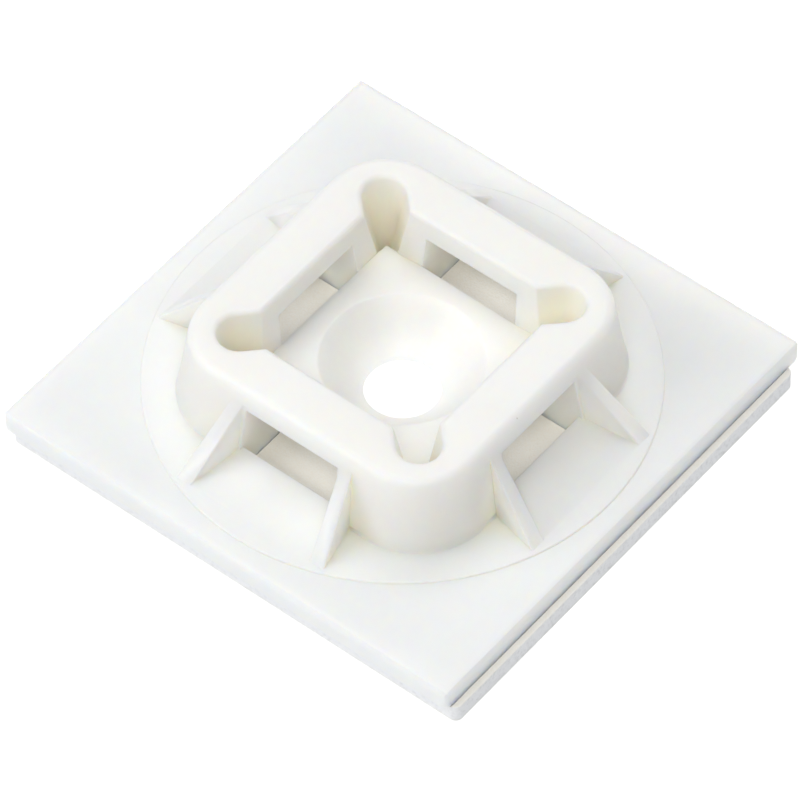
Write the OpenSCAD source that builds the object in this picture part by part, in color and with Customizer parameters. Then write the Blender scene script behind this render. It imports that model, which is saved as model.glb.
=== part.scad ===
// Four-way cable tie mount, 28 mm square, for a strap up to about 5 mm wide.
// One straight-pull nylon moulding stands on a punched foam tape pad with its release liner.
// Millimetres, +Z up. The origin is on the screw hole's axis, where the liner meets the surface.

/* [Base plate] */
// Side of the square base plate
plate_w = 28; // [27:0.5:34]
// Thickness of the base plate
plate_t = 1.1; // [0.9:0.1:1.5]
// Radius of the plate's upright corners
plate_corner_r = 0.5; // [0.4:0.1:1]
// Radius along the plate's top edge
plate_edge_r = 0.4; // [0.2:0.1:0.5]
// Diameter of the raised round field that carries the tower
field_d = 25.8; // [25:0.1:26.4]
// Height of the raised round field
field_h = 0.1; // [0.05:0.05:0.15]

/* [Tower] */
// Height of the tower above the plate
tower_h = 4.6; // [4.4:0.1:4.8]
// Width of the tower across its flats, at the plate
tower_w = 18.1; // [17.8:0.1:18.6]
// Radius of the tower's corners at the plate
tower_corner_r = 4; // [3.7:0.1:4.3]
// Draft of the tower's outer walls, in degrees
tower_draft = 9; // [7:1:11]
// Radius along the tower's outer top edge
tower_edge_r = 0.5; // [0.2:0.1:0.6]
// Radius of the hollow fillet at the tower's foot
tower_foot_r = 0.35; // [0.2:0.05:0.4]
// Width of the square well at the top, before its rim is rounded
well_w = 11.1; // [10.9:0.1:11.3]
// Draft of the well's walls, in degrees
well_draft = 6; // [5:1:7]
// Radius along the rims of the well and of the core slots
rim_r = 0.3; // [0.1:0.05:0.35]

/* [Core slots] */
// Width of the slot that hollows each corner post, at the top
slot_w = 2.3; // [2.1:0.1:2.5]
// Distance from the middle to the far end of a core slot, at the top
slot_reach = 9.1; // [8.9:0.1:9.3]
// Draft of the core slots' walls, in degrees
slot_draft = 11; // [8:1:12]

/* [Strap windows] */
// Width of the window under each bar, at the plate
window_w = 6; // [5.6:0.1:6.2]
// Draft of each side of the window, which narrows upwards, in degrees
window_draft = 3; // [1:0.5:4]
// Height of the bars' underside above the plate
bar_z = 3.35; // [3:0.05:3.5]
// Height of the sill, where the ramp ends at the window, above the plate
sill_h = 0.7; // [0.4:0.1:1.2]
// Distance from the middle to the sill
sill_x = 8.65; // [8.6:0.05:8.8]
// Distance from the middle to the foot of the ramps and the tips of the fins
ramp_x = 11.8; // [11.4:0.1:12]

/* [Fins] */
// Height at which a fin meets the tower wall, above the plate
fin_h = 3.7; // [3.5:0.1:3.9]
// Distance between the outer faces of a window's two fins, at their tips
fin_span = 9.3; // [9:0.1:9.4]
// Thickness of a fin at the plate
fin_t = 0.9; // [0.8:0.1:1]
// Draft of each face of a fin, in degrees
fin_draft = 1.5; // [0.5:0.5:2]

/* [Screw hole] */
// Diameter of the screw hole
hole_d = 3.9; // [3.6:0.1:4.3]
// Diameter of the countersink's rim
sink_d = 8.3; // [7.6:0.1:8.6]
// Height of the platform round the countersink, above the plate
platform_h = 1.4; // [1.3:0.1:1.6]

/* [Tape] */
// Thickness of the foam tape
foam_t = 0.95; // [0.8:0.05:1.6]
// Width of the tape, along X
tape_x = 28; // [26:0.1:28]
// Cut length of the tape, along Y
tape_y = 26.7; // [26:0.1:28]
// Distance by which the tape was laid off centre, along X and against Y
tape_shift = 0.35; // [0:0.05:0.5]
// Radius of the tape's corners
tape_corner_r = 0.4; // [0.2:0.1:1]
// Diameter of the hole punched through the tape
punch_d = 6.6; // [5:0.2:8]
// Thickness of the release liner
liner_t = 0.1; // [0.08:0.01:0.2]

/* [Hidden] */
$fn = 64;
over = 1;                                   // how far a cut runs past a face
arc_steps = 5;                              // straight steps in a rounded edge
plate_z = liner_t + foam_t;                 // underside of the plate
deck_z = plate_z + plate_t;                 // top of the plate, where heights start
field_z = deck_z + field_h;                 // top of the round field
root_z = plate_z + plate_t / 2;             // depth at which ramps and fins are rooted in the plate
tower_foot = tower_w / 2;
corner_at = tower_foot - tower_corner_r;    // axis of each conical corner, from both mid-planes
lean = tan(tower_draft);
sink_depth = (sink_d - hole_d) / 2;         // of a 90 degree countersink
platform_w = well_w - 2 * (tower_h - platform_h) * tan(well_draft);
fin_flare = atan((fin_span / 2 - fin_t - window_w / 2) / (ramp_x - sill_x));  // of each fin, outwards

// Points of an arc about [x, z], from one angle to another
function arc(x, z, r, from, to) =
    [for (i = [0:arc_steps]) let (a = from + (to - from) * i / arc_steps)
        [x + r * cos(a), z + r * sin(a)]];

// Outline with a mirror image on the other side of the Z axis
function both_sides(half) =
    concat(half, [for (i = [len(half) - 1:-1:0]) [-half[i][0], half[i][1]]]);

// A prism of a profile drawn in x and z, centred on the XZ plane
module prism(length) {
    rotate([90, 0, 0]) linear_extrude(length, center = true) children();
}

// A square block that shows the same profile from all four sides
module crossed(length) {
    intersection() {
        prism(length) children();
        rotate(90) prism(length) children();
    }
}

// Four copies, one for each side of the square
module each_side() {
    for (turn = [0:90:270]) rotate(turn) children();
}

// A rectangle with round corners
module rounded_rectangle(x, y, r) {
    square([x, y - 2 * r], center = true);
    square([x - 2 * r, y], center = true);
    for (i = [-1, 1], j = [-1, 1]) translate([i * (x / 2 - r), j * (y / 2 - r)]) circle(r);
}

module base_plate() {
    r = plate_edge_r;
    side = concat([[plate_w / 2, 0]], arc(plate_w / 2 - r, plate_t - r, r, 0, 90));
    translate([0, 0, plate_z]) intersection() {
        crossed(plate_w) polygon(both_sides(side));
        linear_extrude(plate_t) rounded_rectangle(plate_w, plate_w, plate_corner_r);
    }
    translate([0, 0, root_z]) cylinder(h = field_z - root_z, d = field_d);
}

// Half outline of the drafted wall: a hollow fillet at its foot, a rounded edge at its top
function flank(foot) =
    let (
        foot_x = foot - tower_foot_r * lean + tower_foot_r / cos(tower_draft),
        top_z = tower_h - tower_edge_r,
        top_x = foot - top_z * lean - tower_edge_r / cos(tower_draft))
    concat(
        [[foot_x, -plate_t / 2]],
        arc(foot_x, tower_foot_r, tower_foot_r, 270, 180 + tower_draft),
        arc(top_x, top_z, tower_edge_r, tower_draft, 90));

// The drafted block with conical corners, before it is hollowed
module tower_block() {
    corner = concat([[0, -plate_t / 2]], flank(tower_corner_r), [[0, tower_h]]);
    translate([0, 0, deck_z]) {
        for (turn = [0, 90]) rotate(turn) prism(2 * corner_at) polygon(both_sides(flank(tower_foot)));
        each_side() translate([corner_at, corner_at]) rotate_extrude(angle = 90) polygon(corner);
    }
}

// Half outline of a drafted recess, from its floor up to a rounded rim and past it
function recess(half, depth, draft) =
    let (rim_x = half - rim_r * tan(draft) + rim_r / cos(draft))
    concat(
        [[half - depth * tan(draft), 0]],
        arc(rim_x, depth - rim_r, rim_r, 180 - draft, 90),
        [[rim_x, depth + over]]);

// The square opening above the platform, wider at its top
module well() {
    side = recess(well_w / 2, tower_h - platform_h, well_draft);
    translate([0, 0, deck_z + platform_h]) crossed(well_w + over) polygon(both_sides(side));
}

// The drafted slot that runs from the well into a corner post, down to the plate
module core_slot() {
    depth = tower_h - field_h;
    reach = slot_reach - slot_w / 2;
    side = recess(slot_w / 2, depth, slot_draft);
    translate([0, 0, field_z]) rotate(45) {
        translate([reach / 2, 0, 0]) rotate(90) prism(reach) polygon(both_sides(side));
        translate([reach, 0, 0]) rotate(-90) rotate_extrude(angle = 180)
            polygon(concat([[0, 0]], side, [[0, depth + over]]));
    }
}

// The square platform that holds the screw head
module platform() {
    translate([-platform_w / 2, -platform_w / 2, root_z])
        cube([platform_w, platform_w, deck_z + platform_h - root_z]);
}

// The space of a drafted core from below, from the platform out to a given distance from the middle
module core(far) {
    slope = tan(window_draft);
    low = window_w / 2 + deck_z * slope;
    high = window_w / 2 - bar_z * slope;
    near = platform_w / 2;
    translate([near, 0, 0]) rotate([90, 0, 90]) linear_extrude(far - near)
        polygon([[-low, 0], [low, 0], [high, deck_z + bar_z], [-high, deck_z + bar_z]]);
}

// The ramp that lifts a strap over the sill, between the middles of its two fins
module ramp() {
    near = (window_w + fin_t) / 2;
    far = (fin_span - fin_t) / 2;
    intersection() {
        prism(fin_span) polygon([
            [sill_x, root_z],
            [ramp_x, root_z],
            [ramp_x, field_z],
            [sill_x, deck_z + sill_h]]);
        linear_extrude(deck_z + tower_h)
            polygon([[sill_x, -near], [ramp_x, -far], [ramp_x, far], [sill_x, near]]);
    }
}

// A triangular fin beside the window, on its +Y side
module fin() {
    height = deck_z + fin_h - root_z;
    wall_x = tower_foot - fin_h * lean;
    inner_x = wall_x - tower_edge_r;
    shrink = height * tan(fin_draft);
    length = ramp_x - inner_x;
    intersection() {
        translate([ramp_x, fin_span / 2, root_z]) rotate(fin_flare) rotate([90, 0, -90])
            linear_extrude(length / cos(fin_flare) + over) polygon([
                [0, 0],
                [fin_t, 0],
                [fin_t - shrink, height],
                [shrink, height]]);
        prism(2 * fin_span) polygon([
            [inner_x, root_z],
            [ramp_x, root_z],
            [ramp_x, field_z],
            [wall_x, deck_z + fin_h],
            [inner_x, deck_z + fin_h]]);
    }
}

// The screw hole with its countersink
module screw_hole() {
    rim = deck_z + platform_h;
    cylinder(h = rim, d = hole_d);
    translate([0, 0, rim - sink_depth]) cylinder(h = sink_depth, d1 = hole_d, d2 = sink_d);
    translate([0, 0, rim]) cylinder(h = over, d = sink_d);
}

module mount_body() {
    color("ivory") difference() {
        union() {
            base_plate();
            difference() {
                tower_block();
                well();
                each_side() {
                    core_slot();
                    core(tower_w);
                }
            }
            platform();
            each_side() {
                ramp();
                fin();
                mirror([0, 1, 0]) fin();
            }
        }
        each_side() core(sill_x);
        screw_hole();
    }
}

// A length of tape with its punched hole, from the surface side up
module tape(thickness) {
    difference() {
        translate([tape_shift, -tape_shift, 0]) linear_extrude(thickness)
            rounded_rectangle(tape_x, tape_y, tape_corner_r);
        translate([0, 0, -over]) cylinder(h = thickness + 2 * over, d = punch_d);
    }
}

module foam_pad() {
    color("whitesmoke") translate([0, 0, liner_t]) tape(foam_t);
}

module release_liner() {
    color("white") tape(liner_t);
}

mount_body();
foam_pad();
release_liner();
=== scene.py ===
"""Square self-adhesive cable tie mount, dressed on its CAD frame.

The nylon moulding, the foam tape under it and the tape's release liner are
built as three pieces, lit in a plain white studio and seen from high over
the plate's front right corner. All lengths are in metres.
"""

import logging
import math
from dataclasses import dataclass, field
from enum import Enum
from typing import Callable, Mapping, Sequence

import bmesh
import bpy
from mathutils import Matrix, Vector


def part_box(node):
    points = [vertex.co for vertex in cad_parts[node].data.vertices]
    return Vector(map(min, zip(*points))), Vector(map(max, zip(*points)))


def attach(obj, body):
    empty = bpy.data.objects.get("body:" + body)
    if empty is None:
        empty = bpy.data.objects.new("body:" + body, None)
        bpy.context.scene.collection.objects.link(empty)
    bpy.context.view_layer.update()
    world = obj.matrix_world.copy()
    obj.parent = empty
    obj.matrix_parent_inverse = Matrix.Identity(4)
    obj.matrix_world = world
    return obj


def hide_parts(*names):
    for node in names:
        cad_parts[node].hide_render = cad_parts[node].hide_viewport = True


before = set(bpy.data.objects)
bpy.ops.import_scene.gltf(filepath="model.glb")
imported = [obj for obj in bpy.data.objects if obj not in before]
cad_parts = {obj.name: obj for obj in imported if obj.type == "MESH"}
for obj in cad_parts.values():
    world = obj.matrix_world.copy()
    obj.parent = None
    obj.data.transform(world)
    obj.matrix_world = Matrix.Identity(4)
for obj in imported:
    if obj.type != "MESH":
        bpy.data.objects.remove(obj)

LOG = logging.getLogger("cable_tie_mount")

Colour = tuple[float, float, float]
MM = 0.001
TAPE_GAP = 0.003 * MM  # keeps the tape's layers from sharing a face


class Slot(Enum):
    """Names of the material slots."""

    NYLON = "nylon"
    FOAM = "foam"
    LINER = "liner_paper"


class Node(Enum):
    """The CAD nodes that the pieces stand for."""

    BODY = "mount_body"
    FOAM = "foam_pad"
    LINER = "release_liner"


# --------------------------------------------------------------------------
# Node trees
# --------------------------------------------------------------------------


class Graph:
    """A small builder for shader and geometry node trees."""

    def __init__(self, tree: bpy.types.NodeTree) -> None:
        """Keep the tree that the nodes go into.

        Args:
            tree: The node tree to build.
        """
        self.tree = tree

    def add(
        self,
        kind: str,
        inputs: Mapping[str | int, object] | None = None,
        **settings: object,
    ) -> bpy.types.Node:
        """Add one node.

        Args:
            kind: The node's class name in Blender.
            inputs: Socket name or index to a value, or to a socket to link.
            **settings: Properties of the node itself.

        Returns:
            The new node.
        """
        node = self.tree.nodes.new(kind)
        for name, value in settings.items():
            setattr(node, name, value)
        for key, value in (inputs or {}).items():
            if isinstance(value, bpy.types.NodeSocket):
                self.tree.links.new(value, node.inputs[key])
            else:
                node.inputs[key].default_value = value
        return node

    def math(self, operation: str, *values: object) -> bpy.types.NodeSocket:
        """Add a Math node.

        Args:
            operation: The node's operation, such as MULTIPLY.
            *values: Its inputs, as numbers or sockets.

        Returns:
            The result's socket.
        """
        node = self.add(
            "ShaderNodeMath", dict(enumerate(values)), operation=operation
        )
        return node.outputs[0]

    def ramp(
        self,
        value: bpy.types.NodeSocket,
        low: float,
        high: float,
        to_low: float = 0.0,
        to_high: float = 1.0,
    ) -> bpy.types.NodeSocket:
        """Map one range smoothly onto another, clamped at both ends.

        Args:
            value: The value to map.
            low: The value that becomes to_low.
            high: The value that becomes to_high.
            to_low: The result at low.
            to_high: The result at high.

        Returns:
            The mapped value's socket.
        """
        node = self.add(
            "ShaderNodeMapRange",
            {0: value, 1: low, 2: high, 3: to_low, 4: to_high},
            interpolation_type="SMOOTHSTEP",
        )
        return node.outputs[0]

    def blend(
        self, factor: object, first: object, second: object
    ) -> bpy.types.NodeSocket:
        """Mix two colours.

        Args:
            factor: Share of the second colour.
            first: Colour or socket at factor 0.
            second: Colour or socket at factor 1.

        Returns:
            The mixed colour's socket.
        """
        node = self.add("ShaderNodeMix", {0: factor}, data_type="RGBA")
        for index, colour in ((6, first), (7, second)):
            if isinstance(colour, bpy.types.NodeSocket):
                self.tree.links.new(colour, node.inputs[index])
            else:
                node.inputs[index].default_value = (*colour, 1.0)
        return node.outputs[2]


def background_rays(graph: Graph) -> bpy.types.NodeSocket:
    """Tell the rays that show a background from those that light the object.

    Args:
        graph: The shader tree to add to.

    Returns:
        A socket that is 1 for camera, glossy and transmission rays.
    """
    path = graph.add("ShaderNodeLightPath").outputs
    mirrored = graph.math(
        "MAXIMUM", path["Is Glossy Ray"], path["Is Transmission Ray"]
    )
    return graph.math("MAXIMUM", path["Is Camera Ray"], mirrored)


class Surface(Graph):
    """A material under construction, on Object coordinates."""

    def __init__(self, name: str) -> None:
        """Make an empty node material.

        Args:
            name: The material's name.
        """
        self.material = bpy.data.materials.new(name)
        self.material.use_nodes = True
        super().__init__(self.material.node_tree)
        self.tree.nodes.clear()
        self.out = self.add("ShaderNodeOutputMaterial")
        self.place = self.add("ShaderNodeTexCoord").outputs["Object"]

    def noise(
        self,
        size: float,
        detail: float = 2.0,
        roughness: float = 0.5,
        distortion: float = 0.0,
        place: bpy.types.NodeSocket | None = None,
    ) -> bpy.types.NodeSocket:
        """Add soft noise.

        Args:
            size: Length of its largest features, in metres.
            detail: Octaves of finer noise in it.
            roughness: Strength of the finer octaves.
            distortion: How far the noise is bent.
            place: Coordinates to use instead of the object's.

        Returns:
            The noise value's socket.
        """
        node = self.add(
            "ShaderNodeTexNoise",
            {
                "Vector": place or self.place,
                "Scale": 1.0 / size,
                "Detail": detail,
                "Roughness": roughness,
                "Distortion": distortion,
            },
        )
        return node.outputs["Fac"]

    def cells(self, size: float, feature: str = "F1") -> bpy.types.Node:
        """Add a Voronoi pattern.

        Args:
            size: Mean width of a cell, in metres.
            feature: Which distance the pattern gives.

        Returns:
            The Voronoi node.
        """
        return self.add(
            "ShaderNodeTexVoronoi",
            {"Vector": self.place, "Scale": 1.0 / size},
            feature=feature,
        )

    def bump(
        self,
        height: bpy.types.NodeSocket,
        depth: float,
        strength: float = 1.0,
        normal: bpy.types.NodeSocket | None = None,
    ) -> bpy.types.NodeSocket:
        """Add a bump.

        Args:
            height: The relief, from 0 to 1.
            depth: The relief's full depth, in metres.
            strength: Share of the bump that is used.
            normal: A bump to add this one to.

        Returns:
            The bent normal's socket.
        """
        inputs: dict[str | int, object] = {
            "Height": height,
            "Distance": depth,
            "Strength": strength,
        }
        if normal is not None:
            inputs["Normal"] = normal
        return self.add("ShaderNodeBump", inputs).outputs[0]

    def finish(self, shader: bpy.types.Node) -> bpy.types.Material:
        """Connect the surface and hand the material over.

        Args:
            shader: The shader that the surface shows.

        Returns:
            The finished material.
        """
        self.tree.links.new(shader.outputs[0], self.out.inputs["Surface"])
        return self.material


# --------------------------------------------------------------------------
# Finishes
# --------------------------------------------------------------------------


@dataclass(frozen=True)
class NylonFinish:
    """Natural white nylon 6/6: satin, slightly translucent, ivory, with a painted amber
    shade in its recesses.
    """

    pale: Colour = (0.948, 0.942, 0.915)
    deep: Colour = (0.940, 0.932, 0.898)
    # Painted shade: the amber colour laid into recesses, creases and corners.
    painted_recess_shade: Colour = (0.92, 0.85, 0.62)
    painted_recess_shade_share: float = 0.48
    painted_recess_shade_reach: float = 3.0 * MM
    fleck: Colour = (0.50, 0.44, 0.34)
    scatter_share: float = 1.0
    scatter_depth: float = 1.4 * MM
    scatter_tint: Colour = (1.0, 0.82, 0.58)
    roughness: float = 0.42
    flow_size: float = 6.0 * MM
    cloud_size: float = 0.8 * MM
    flow_weight: float = 0.65
    fleck_spacing: float = 2.1 * MM
    fleck_strength: float = 0.5
    grain_size: float = 0.11 * MM
    grain_depth: float = 0.003 * MM
    wave_size: float = 2.6 * MM
    wave_depth: float = 0.010 * MM

    def _tone(self, s: Surface) -> bpy.types.NodeSocket:
        """Cloudy tone of the moulded surface.

        Args:
            s: The material to add to.

        Returns:
            The tone's socket, around one half.
        """
        flow = s.noise(self.flow_size, detail=3.0, distortion=0.8)
        cloud = s.noise(self.cloud_size, detail=3.0, roughness=0.6)
        return s.math(
            "ADD",
            s.math("MULTIPLY", flow, self.flow_weight),
            s.math("MULTIPLY", cloud, 1.0 - self.flow_weight),
        )

    def _flecks(self, s: Surface) -> bpy.types.NodeSocket:
        """Mark a few tiny dark specks.

        Args:
            s: The material to add to.

        Returns:
            The share of the fleck colour's socket.
        """
        spot = s.cells(self.fleck_spacing)
        rare = s.add("ShaderNodeSeparateColor", {0: spot.outputs["Color"]})
        near = s.ramp(spot.outputs["Distance"], 0.018, 0.030, 1.0, 0.0)
        chosen = s.ramp(rare.outputs[0], 0.86, 0.88)
        return s.math(
            "MULTIPLY", s.math("MULTIPLY", near, chosen), self.fleck_strength
        )

    def material(self) -> bpy.types.Material:
        """Build the finish.

        Returns:
            The nylon's material.
        """
        s = Surface("nylon_satin")
        tone = self._tone(s)
        colour = s.blend(s.ramp(tone, 0.35, 0.65), self.pale, self.deep)
        # Painted shade: ambient occlusion tints the nylon darker and amber in recesses,
        # creases and corners, where shade and warm bounced light fall.
        open_air = s.add(
            "ShaderNodeAmbientOcclusion", {"Distance": self.painted_recess_shade_reach}, samples=6
        ).outputs["AO"]
        recess_shade_mask = s.ramp(open_air, 0.20, 0.80, self.painted_recess_shade_share, 0.0)
        colour = s.blend(recess_shade_mask, colour, self.painted_recess_shade)
        colour = s.blend(self._flecks(s), colour, self.fleck)
        gloss = s.ramp(tone, 0.3, 0.7, self.roughness - 0.05, self.roughness + 0.07)
        relief = s.bump(s.noise(self.wave_size, detail=1.0), self.wave_depth)
        grain = s.noise(self.grain_size, detail=1.0)
        relief = s.bump(grain, self.grain_depth, normal=relief)
        shader = s.add(
            "ShaderNodeBsdfPrincipled",
            {
                "Base Color": colour,
                "Roughness": gloss,
                "IOR": 1.53,
                "Subsurface Weight": self.scatter_share,
                "Subsurface Radius": self.scatter_tint,
                "Subsurface Scale": self.scatter_depth,
                "Normal": relief,
            },
        )
        return s.finish(shader)


@dataclass(frozen=True)
class FoamFinish:
    """White closed-cell foam: cut cells on its walls with painted shade in their pits,
    adhesive skin on top.
    """

    ridge: Colour = (0.95, 0.95, 0.96)
    # Painted shade: the darker colour laid into the cut cells' pits.
    cell_pit_shade: Colour = (0.83, 0.83, 0.84)
    skin: Colour = (0.99, 0.978, 0.945)
    speck: Colour = (0.975, 0.945, 0.890)
    cell_size: float = 0.26 * MM
    fine_share: float = 0.42
    mottle_size: float = 0.5 * MM
    dust_size: float = 0.09 * MM
    relief: float = 0.02 * MM
    roughness: float = 0.85
    skin_roughness: float = 0.45

    def material(self) -> bpy.types.Material:
        """Build the finish.

        Returns:
            The foam's material.
        """
        s = Surface("foam_cells")
        large = s.cells(self.cell_size).outputs["Distance"]
        small = s.cells(self.cell_size * self.fine_share).outputs["Distance"]
        mottle = s.noise(self.mottle_size, detail=2.0)
        # Painted shade: the cut cells' pits are coloured darker, mottled at random.
        cut = s.math(
            "ADD",
            s.ramp(large, 0.15, 0.55, 0.65, 0.0),
            s.ramp(small, 0.15, 0.55, 0.35, 0.0),
        )
        shade = s.math("MULTIPLY", cut, s.ramp(mottle, 0.3, 0.7, 0.55, 1.0))
        walls_with_pit_shade = s.blend(shade, self.ridge, self.cell_pit_shade)
        facing = s.add("ShaderNodeNewGeometry").outputs["Normal"]
        level = s.add("ShaderNodeSeparateXYZ", {0: facing}).outputs[2]
        flat = s.ramp(s.math("ABSOLUTE", level), 0.80, 0.95)
        dust = s.noise(self.dust_size, detail=3.0, roughness=0.75)
        skin = s.blend(s.ramp(dust, 0.42, 0.62), self.skin, self.speck)
        relief = s.bump(small, self.relief, strength=0.6)
        shader = s.add(
            "ShaderNodeBsdfPrincipled",
            {
                "Base Color": s.blend(flat, walls_with_pit_shade, skin),
                "Roughness": s.ramp(
                    flat, 0.0, 1.0, self.roughness, self.skin_roughness
                ),
                "IOR": 1.48,
                "Normal": relief,
            },
        )
        return s.finish(shader)


@dataclass(frozen=True)
class PaperFinish:
    """White siliconised release paper with faint fibres."""

    pale: Colour = (0.93, 0.93, 0.92)
    fibre: Colour = (0.87, 0.86, 0.83)
    roughness: float = 0.38
    fibre_size: float = 0.22 * MM
    fibre_stretch: float = 0.22
    fibre_relief: float = 0.006 * MM
    cloud_size: float = 1.8 * MM

    def material(self) -> bpy.types.Material:
        """Build the finish.

        Returns:
            The paper's material.
        """
        s = Surface("liner_paper")
        along = s.add(
            "ShaderNodeMapping",
            {"Vector": s.place, "Scale": (self.fibre_stretch, 1.0, 1.0)},
        ).outputs[0]
        fibres = s.noise(
            self.fibre_size, detail=3.0, roughness=0.7, distortion=1.6, place=along
        )
        cloud = s.noise(self.cloud_size, detail=3.0)
        tone = s.math(
            "ADD", s.math("MULTIPLY", fibres, 0.6), s.math("MULTIPLY", cloud, 0.4)
        )
        gloss = s.ramp(tone, 0.3, 0.7, self.roughness - 0.06, self.roughness + 0.1)
        shader = s.add(
            "ShaderNodeBsdfPrincipled",
            {
                "Base Color": s.blend(s.ramp(tone, 0.35, 0.7), self.pale, self.fibre),
                "Roughness": gloss,
                "IOR": 1.45,
                "Normal": s.bump(fibres, self.fibre_relief),
            },
        )
        return s.finish(shader)


@dataclass(frozen=True)
class FloorFinish:
    """White floor that reads as paper white and keeps a faint shadow; to the rays that
    light the object it glows as a light table, lighting it from below.
    """

    albedo: Colour = (0.10, 0.10, 0.10)
    light_table_glow: float = 0.95
    light_table_tint: Colour = (0.94, 0.97, 1.0)
    depth: float = 0.05 * MM
    glow: float = 0.88
    shadow_share: float = 0.30

    def material(self) -> bpy.types.Material:
        """Build the finish.

        Returns:
            The floor's material.
        """
        s = Surface("floor_white")
        shown = background_rays(s)
        matt = s.add("ShaderNodeBsdfDiffuse", {"Color": (*self.albedo, 1.0)})
        # The floor glows as a light table for the rays that light the object, so light
        # reaches the mount from below, through its hole and tape.
        lit = s.add(
            "ShaderNodeEmission",
            {"Color": (*self.light_table_tint, 1.0), "Strength": self.light_table_glow},
        )
        plain = s.add("ShaderNodeAddShader", {0: lit.outputs[0], 1: matt.outputs[0]})
        share = self.shadow_share
        faint = s.add("ShaderNodeBsdfDiffuse", {"Color": (share, share, share, 1.0)})
        glow = s.add(
            "ShaderNodeEmission", {"Color": (1.0, 1.0, 1.0, 1.0), "Strength": self.glow}
        )
        seen = s.add("ShaderNodeAddShader", {0: glow.outputs[0], 1: faint.outputs[0]})
        both = s.add(
            "ShaderNodeMixShader", {0: shown, 1: plain.outputs[0], 2: seen.outputs[0]}
        )
        return s.finish(both)


# --------------------------------------------------------------------------
# Pieces
# --------------------------------------------------------------------------


def make_object(name: str, mesh: bpy.types.Mesh) -> bpy.types.Object:
    """Link a mesh into the scene.

    Args:
        name: The object's name.
        mesh: Its mesh.

    Returns:
        The new object, at the origin.
    """
    thing = bpy.data.objects.new(name, mesh)
    bpy.context.scene.collection.objects.link(thing)
    return thing


def settle(thing: bpy.types.Object) -> None:
    """Turn an object's modifiers into plain mesh.

    Args:
        thing: The object whose modifiers are applied and removed.
    """
    depsgraph = bpy.context.evaluated_depsgraph_get()
    before = thing.data
    thing.data = bpy.data.meshes.new_from_object(thing.evaluated_get(depsgraph))
    thing.data.name = before.name
    thing.modifiers.clear()
    bpy.data.meshes.remove(before)


def hand_over(thing: bpy.types.Object, node: Node) -> None:
    """Let a finished piece stand for its CAD node.

    Args:
        thing: The finished piece.
        node: The CAD node that it replaces.
    """
    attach(thing, "root")
    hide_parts(node.value)


@dataclass
class MountBody:
    """The nylon moulding, with its moulded edges eased."""

    finish: NylonFinish = field(default_factory=NylonFinish)
    weld: float = 0.002 * MM
    flat: float = math.radians(0.3)
    crisp: float = math.radians(40)
    crease: float = math.radians(35)
    easing: float = 0.08 * MM
    easing_steps: int = 3
    corner_zone: float = 0.7 * MM
    sole: float = 0.15 * MM

    def _is_eased(self, edge: bmesh.types.BMEdge) -> bool:
        """Say whether an edge is one of those that the mould rounds.

        Args:
            edge: The edge to judge.

        Returns:
            True for a sharp outer edge off the sole and the plate's corners.
        """
        if not edge.is_manifold or not edge.is_convex:
            return False
        if edge.calc_face_angle() < self.crisp:
            return False
        low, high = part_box(Node.BODY.value)
        middle = (edge.verts[0].co + edge.verts[1].co) / 2
        if middle.z < low.z + self.sole:
            return False
        reach = high.x - self.corner_zone
        return min(abs(middle.x), abs(middle.y)) < reach

    def _moulding(self) -> bpy.types.Mesh:
        """Copy the CAD node's mesh, join its faces and ease its edges.

        Returns:
            The eased mesh.
        """
        bm = bmesh.new()
        bm.from_mesh(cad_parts[Node.BODY.value].data)
        bmesh.ops.remove_doubles(bm, verts=bm.verts, dist=self.weld)
        bmesh.ops.dissolve_limit(
            bm, angle_limit=self.flat, verts=bm.verts, edges=bm.edges
        )
        bmesh.ops.bevel(
            bm,
            geom=[edge for edge in bm.edges if self._is_eased(edge)],
            offset=self.easing,
            offset_type="OFFSET",
            segments=self.easing_steps,
            profile=0.5,
            affect="EDGES",
            clamp_overlap=False,
            loop_slide=True,
        )
        bmesh.ops.recalc_face_normals(bm, faces=bm.faces)
        mesh = bpy.data.meshes.new("nylon_mount")
        bm.to_mesh(mesh)
        bm.free()
        return mesh

    def build(self) -> bpy.types.Object:
        """Build the piece.

        Returns:
            The finished piece.
        """
        mesh = self._moulding()
        thing = make_object("nylon_mount", mesh)
        mesh.shade_smooth()
        mesh.set_sharp_from_angle(angle=self.crease)
        even = thing.modifiers.new("even", "WEIGHTED_NORMAL")
        even.keep_sharp = True
        settle(thing)
        thing.data.materials.clear()
        thing.data.materials.append(self.finish.material())
        hand_over(thing, Node.BODY)
        LOG.info("nylon mount: %d faces", len(thing.data.polygons))
        return thing


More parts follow.
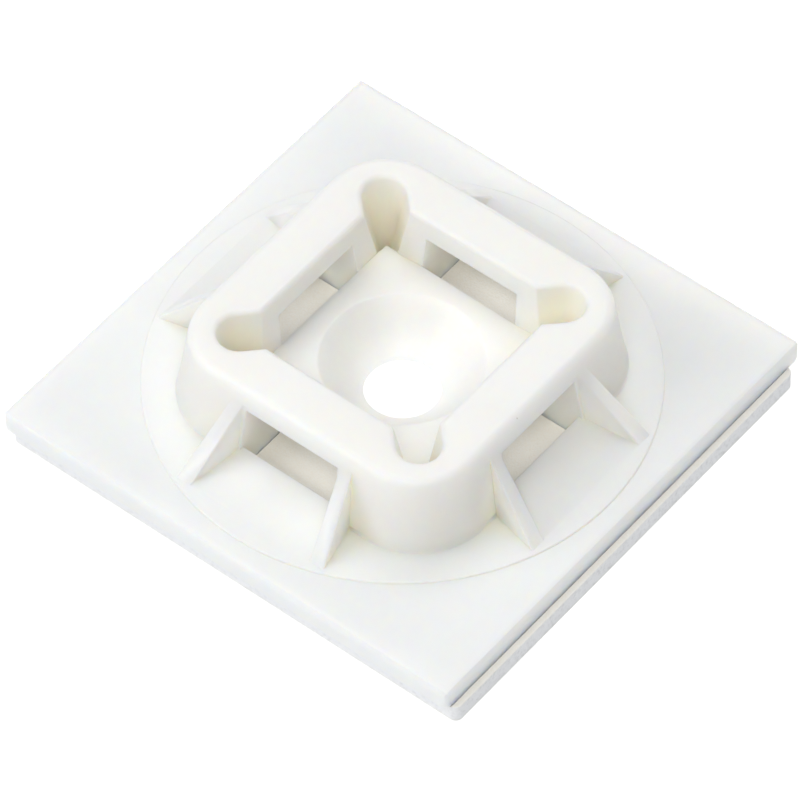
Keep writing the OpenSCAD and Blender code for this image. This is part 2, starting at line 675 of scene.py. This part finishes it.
@dataclass(frozen=True)
class SheetOutline:
    """Plan of a layer of the tape: a rounded rectangle with a round hole."""

    low: Vector
    high: Vector
    corner: float
    hole: float
    corner_steps: int = 8

    @classmethod
    def of_node(cls, node: Node, corner: float) -> "SheetOutline":
        """Read the plan from a CAD node.

        Args:
            node: The tape layer's node.
            corner: Radius of its corners.

        Returns:
            The plan.
        """
        low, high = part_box(node.value)
        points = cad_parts[node.value].data.vertices
        hole = min(math.hypot(point.co.x, point.co.y) for point in points)
        return cls(low, high, corner, hole)

    def _corner(self, index: int, inset: float) -> list[Vector]:
        """Points round one corner, from its first straight side to its second.

        Args:
            index: Corner number, counted anticlockwise from the one at +X +Y.
            inset: Distance from the edge.

        Returns:
            The corner's points.
        """
        start = index * math.pi / 2
        across = math.copysign(1, math.cos(start + math.pi / 4))
        along = math.copysign(1, math.sin(start + math.pi / 4))
        reach = self.corner - min(self.corner - inset, 0.0)
        centre = Vector(
            (
                (self.high.x if across > 0 else self.low.x) - across * reach,
                (self.high.y if along > 0 else self.low.y) - along * reach,
            )
        )
        radius = max(self.corner - inset, 0.0)
        turns = (
            start + step * math.pi / 2 / self.corner_steps
            for step in range(self.corner_steps + 1)
        )
        return [
            centre + radius * Vector((math.cos(turn), math.sin(turn)))
            for turn in turns
        ]

    def rim(self, inset: float, pitch: float) -> list[Vector]:
        """Points along the outer edge, moved inwards.

        Args:
            inset: Distance from the edge.
            pitch: Distance between points on the straight sides.

        Returns:
            One closed loop, the same number of points for every inset.
        """
        width = self.high.x - self.low.x - 2 * self.corner
        depth = self.high.y - self.low.y - 2 * self.corner
        points: list[Vector] = []
        for index in range(4):
            points.extend(self._corner(index, inset))
            here, there = points[-1], self._corner((index + 1) % 4, inset)[0]
            count = max(2, round((depth if index % 2 else width) / pitch))
            points.extend(
                here.lerp(there, step / count) for step in range(1, count)
            )
        return points

    def bore(self, outset: float, pitch: float) -> list[Vector]:
        """Points along the hole's edge, moved away from its middle.

        Args:
            outset: Distance from the hole's edge.
            pitch: Distance between points on the edge.

        Returns:
            One closed loop.
        """
        count = round(math.tau * self.hole / pitch)
        radius = self.hole + outset
        return [
            Vector((radius * math.cos(turn), radius * math.sin(turn)))
            for turn in (math.tau * step / count for step in range(count))
        ]


def wall(
    bm: bmesh.types.BMesh,
    loop: Callable[[float, float], Sequence[Vector]],
    profile: Sequence[tuple[float, float]],
    pitch: float,
) -> tuple[list[bmesh.types.BMEdge], list[bmesh.types.BMEdge]]:
    """Sweep a profile round a closed loop.

    Args:
        bm: The mesh to add to.
        loop: Gives the loop's points at a distance from the edge.
        profile: Distance from the edge and height, from top to bottom.
        pitch: Distance between the loop's points.

    Returns:
        The edges of the first and of the last ring.
    """
    rings = [
        [bm.verts.new((*point, height)) for point in loop(distance, pitch)]
        for distance, height in profile
    ]
    for upper, lower in zip(rings, rings[1:]):
        for index in range(len(upper)):
            follow = (index + 1) % len(upper)
            bm.faces.new((upper[index], upper[follow], lower[follow], lower[index]))
    ends = []
    for ring in (rings[0], rings[-1]):
        ends.append(
            [
                bm.edges.get((ring[index], ring[(index + 1) % len(ring)]))
                for index in range(len(ring))
            ]
        )
    return ends[0], ends[1]


def layer_mesh(
    name: str, plan: SheetOutline, pitch: float, rows: int, ease: float
) -> bpy.types.Mesh:
    """Build one layer of the tape, with finely divided walls.

    Args:
        name: The mesh's name.
        plan: The layer's outline.
        pitch: Distance between points along the walls.
        rows: Number of divisions over the walls' height.
        ease: Radius of the walls' edges.

    Returns:
        The closed mesh.
    """
    top, bottom = plan.high.z - TAPE_GAP, plan.low.z + TAPE_GAP
    margins = (0.3 * MM, 0.12 * MM)  # rings on the flat faces, beside the walls
    turns = [math.pi / 4 * step for step in range(3)]
    profile = [(margin, top) for margin in margins]
    profile += [
        (ease * (1 - math.sin(turn)), top - ease * (1 - math.cos(turn)))
        for turn in turns
    ]
    straight = top - bottom - 2 * ease
    profile += [
        (0.0, top - ease - straight * row / rows) for row in range(1, rows)
    ]
    profile += [
        (ease * (1 - math.cos(turn)), bottom + ease * (1 - math.sin(turn)))
        for turn in turns
    ]
    profile += [(margin, bottom) for margin in reversed(margins)]
    bm = bmesh.new()
    upper_rim, lower_rim = wall(bm, plan.rim, profile, pitch)
    upper_bore, lower_bore = wall(bm, plan.bore, profile, pitch)
    bmesh.ops.triangle_fill(bm, use_beauty=True, edges=upper_rim + upper_bore)
    bmesh.ops.triangle_fill(bm, use_beauty=True, edges=lower_rim + lower_bore)
    bmesh.ops.recalc_face_normals(bm, faces=bm.faces)
    mesh = bpy.data.meshes.new(name)
    bm.to_mesh(mesh)
    bm.free()
    return mesh


@dataclass
class FoamPad:
    """The foam tape, with its cut cells open on every wall."""

    finish: FoamFinish = field(default_factory=FoamFinish)
    corner: float = 0.4 * MM
    pitch: float = 0.055 * MM
    rows: int = 16
    ease: float = 0.03 * MM
    pit_depth: float = 0.045 * MM
    fine_depth: float = 0.020 * MM
    skin: float = 0.05 * MM

    def _cell_tree(self, low: float, high: float) -> bpy.types.NodeTree:
        """Build the tree that opens the foam's cells on its walls.

        Args:
            low: Height of the pad's underside.
            high: Height of its top.

        Returns:
            The Geometry Nodes tree.
        """
        tree = bpy.data.node_groups.new("foam_cells", "GeometryNodeTree")
        face = tree.interface
        face.new_socket("Geometry", in_out="INPUT", socket_type="NodeSocketGeometry")
        for name, value in (
            ("Cell Size", self.finish.cell_size),
            ("Pit Depth", self.pit_depth),
            ("Fine Depth", self.fine_depth),
            ("Skin", self.skin),
        ):
            socket = face.new_socket(
                name, in_out="INPUT", socket_type="NodeSocketFloat"
            )
            socket.default_value = value
        face.new_socket("Material", in_out="INPUT", socket_type="NodeSocketMaterial")
        face.new_socket("Geometry", in_out="OUTPUT", socket_type="NodeSocketGeometry")
        g = Graph(tree)
        given = g.add("NodeGroupInput").outputs
        place = g.add("GeometryNodeInputPosition").outputs[0]
        normal = g.add("GeometryNodeInputNormal").outputs[0]
        height = g.add("ShaderNodeSeparateXYZ", {0: place}).outputs[2]
        upward = g.add("ShaderNodeSeparateXYZ", {0: normal}).outputs[2]
        slope = g.math("ABSOLUTE", upward)
        edge = g.math(
            "MINIMUM",
            g.math("SUBTRACT", height, low),
            g.math("SUBTRACT", high, height),
        )
        inside = g.math("DIVIDE", edge, given["Skin"])
        mask = g.math(
            "MULTIPLY", g.ramp(inside, 0.6, 1.8), g.ramp(slope, 0.2, 0.5, 1.0, 0.0)
        )
        depth = None
        fine = self.finish.fine_share
        for share, key, low_edge in ((1.0, "Pit Depth", 0.10), (fine, "Fine Depth", 0.15)):
            size = g.math("MULTIPLY", given["Cell Size"], share)
            cells = g.add(
                "ShaderNodeTexVoronoi",
                {"Vector": place, "Scale": g.math("DIVIDE", 1.0, size)},
                feature="F1",
            )
            cup = g.ramp(cells.outputs["Distance"], low_edge, 0.55, 1.0, 0.0)
            part = g.math("MULTIPLY", cup, given[key])
            depth = part if depth is None else g.math("ADD", depth, part)
        inward = g.math("MULTIPLY", g.math("MULTIPLY", depth, mask), -1.0)
        offset = g.add(
            "ShaderNodeVectorMath", {0: normal, "Scale": inward}, operation="SCALE"
        ).outputs[0]
        moved = g.add(
            "GeometryNodeSetPosition",
            {"Geometry": given["Geometry"], "Offset": offset},
        ).outputs[0]
        whole = g.add("GeometryNodeRealizeInstances", {0: moved}).outputs[0]
        painted = g.add(
            "GeometryNodeSetMaterial",
            {"Geometry": whole, "Material": given["Material"]},
        ).outputs[0]
        g.add("NodeGroupOutput", {"Geometry": painted})
        return tree

    def build(self) -> bpy.types.Object:
        """Build the piece.

        Returns:
            The finished piece.
        """
        plan = SheetOutline.of_node(Node.FOAM, self.corner)
        mesh = layer_mesh("foam_tape", plan, self.pitch, self.rows, self.ease)
        thing = make_object("foam_tape", mesh)
        material = self.finish.material()
        tree = self._cell_tree(plan.low.z, plan.high.z)
        cut = thing.modifiers.new("cells", "NODES")
        cut.node_group = tree
        for socket in tree.interface.items_tree:
            if socket.in_out == "INPUT" and socket.name == "Material":
                cut[socket.identifier] = material
        settle(thing)
        thing.data.shade_smooth()
        hand_over(thing, Node.FOAM)
        LOG.info("foam tape: %d faces", len(thing.data.polygons))
        return thing


@dataclass
class ReleaseLiner:
    """The siliconised paper that covers the tape's lower face."""

    finish: PaperFinish = field(default_factory=PaperFinish)
    corner: float = 0.4 * MM
    pitch: float = 0.25 * MM
    rows: int = 3
    ease: float = 0.02 * MM

    def build(self) -> bpy.types.Object:
        """Build the piece.

        Returns:
            The finished piece.
        """
        plan = SheetOutline.of_node(Node.LINER, self.corner)
        mesh = layer_mesh("release_paper", plan, self.pitch, self.rows, self.ease)
        thing = make_object("release_paper", mesh)
        thing.data.shade_smooth()
        thing.data.set_sharp_from_angle(angle=math.radians(50))
        thing.data.materials.append(self.finish.material())
        hand_over(thing, Node.LINER)
        LOG.info("release paper: %d faces", len(thing.data.polygons))
        return thing


# --------------------------------------------------------------------------
# Studio
# --------------------------------------------------------------------------


def direction(azimuth: float, elevation: float) -> Vector:
    """Unit vector towards a viewpoint; azimuth 0 lies towards -Y.

    Args:
        azimuth: Degrees, positive towards +X.
        elevation: Degrees above the floor.

    Returns:
        The vector.
    """
    turn, rise = math.radians(azimuth), math.radians(elevation)
    return Vector(
        (
            math.sin(turn) * math.cos(rise),
            -math.cos(turn) * math.cos(rise),
            math.sin(rise),
        )
    )


@dataclass(frozen=True)
class Lamp:
    """One soft square lamp, aimed at the object."""

    name: str
    azimuth: float
    elevation: float
    power: float
    size: float = 0.30
    colour: Colour = (1.0, 1.0, 1.0)
    distance: float = 0.5

    def build(self) -> bpy.types.Object:
        """Hang the lamp.

        Returns:
            The lamp's object.
        """
        data = bpy.data.lights.new(self.name, "AREA")
        data.shape = "SQUARE"
        data.size = self.size
        data.energy = self.power
        data.color = self.colour
        lamp = bpy.data.objects.new(self.name, data)
        towards = direction(self.azimuth, self.elevation)
        lamp.location = towards * self.distance
        lamp.rotation_euler = towards.to_track_quat("Z", "Y").to_euler()
        bpy.context.scene.collection.objects.link(lamp)
        return lamp


@dataclass
class Studio:
    """White floor, pale surroundings and soft lamps."""

    lamps: tuple[Lamp, ...] = (
        Lamp("overhead_back", azimuth=-140, elevation=68, power=0.80),
        Lamp("front_left", azimuth=-45, elevation=38, power=0.98),
        Lamp("front_right", azimuth=39, elevation=53, power=1.06, colour=(1.0, 0.98, 0.94)),
        Lamp("low_back", azimuth=180, elevation=18, power=0.60, colour=(1.0, 0.96, 0.90)),
    )
    floor: FloorFinish = field(default_factory=FloorFinish)
    floor_reach: float = 1.5
    air: Colour = (0.82, 0.90, 1.0)
    air_strength: float = 0.06

    def build(self) -> None:
        """Build the floor, the surroundings and the lamps."""
        bm = bmesh.new()
        bmesh.ops.create_grid(
            bm,
            x_segments=4,
            y_segments=4,
            size=self.floor_reach,
            matrix=Matrix.Translation((0.0, 0.0, -self.floor.depth)),
        )
        mesh = bpy.data.meshes.new("floor")
        bm.to_mesh(mesh)
        bm.free()
        floor = make_object("floor", mesh)
        mesh.materials.append(self.floor.material())
        self._surroundings()
        for lamp in self.lamps:
            lamp.build()

    def _surroundings(self) -> None:
        """Make the world light plainly and show as white."""
        world = bpy.data.worlds.new("air")
        bpy.context.scene.world = world
        world.use_nodes = True
        g = Graph(world.node_tree)
        g.tree.nodes.clear()
        shown = background_rays(g)
        light = g.add(
            "ShaderNodeBackground",
            {"Color": (*self.air, 1.0), "Strength": self.air_strength},
        )
        white = g.add(
            "ShaderNodeBackground", {"Color": (1.0, 1.0, 1.0, 1.0), "Strength": 1.0}
        )
        both = g.add(
            "ShaderNodeMixShader", {0: shown, 1: light.outputs[0], 2: white.outputs[0]}
        )
        g.add("ShaderNodeOutputWorld", {"Surface": both.outputs[0]})


@dataclass(frozen=True)
class HighCornerCamera:
    """Long lens, high over the mount's front right corner."""

    azimuth: float = 39.46
    elevation: float = 50.92
    roll: float = -0.78
    distance: float = 0.3825
    aim: tuple[float, float, float] = (0.83 * MM, -1.22 * MM, 2.15 * MM)
    lens: float = 351.0

    def build(self) -> bpy.types.Object:
        """Place the camera and make it the scene's.

        Returns:
            The camera's object.
        """
        data = bpy.data.cameras.new("high_corner_camera")
        data.sensor_width = 36.0
        data.lens = self.lens
        data.clip_start = 0.01
        camera = bpy.data.objects.new("high_corner_camera", data)
        back = direction(self.azimuth, self.elevation)
        turn = math.radians(self.azimuth)
        level = Vector((math.cos(turn), math.sin(turn), 0.0))
        rise = back.cross(level)
        tilt = math.radians(self.roll)
        right = math.cos(tilt) * level + math.sin(tilt) * rise
        up = math.cos(tilt) * rise - math.sin(tilt) * level
        pose = Matrix((right, up, back)).transposed().to_4x4()
        pose.translation = Vector(self.aim) + back * self.distance
        camera.matrix_world = pose
        bpy.context.scene.collection.objects.link(camera)
        bpy.context.scene.camera = camera
        return camera


def main() -> None:
    """Build the dressed object and its studio."""
    logging.basicConfig(level=logging.INFO, format="%(name)s: %(message)s")
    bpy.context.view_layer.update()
    bpy.context.scene.view_settings.view_transform = "Standard"
    HighCornerCamera().build()
    Studio().build()
    MountBody().build()
    FoamPad().build()
    ReleaseLiner().build()


if __name__ == "__main__":
    main()
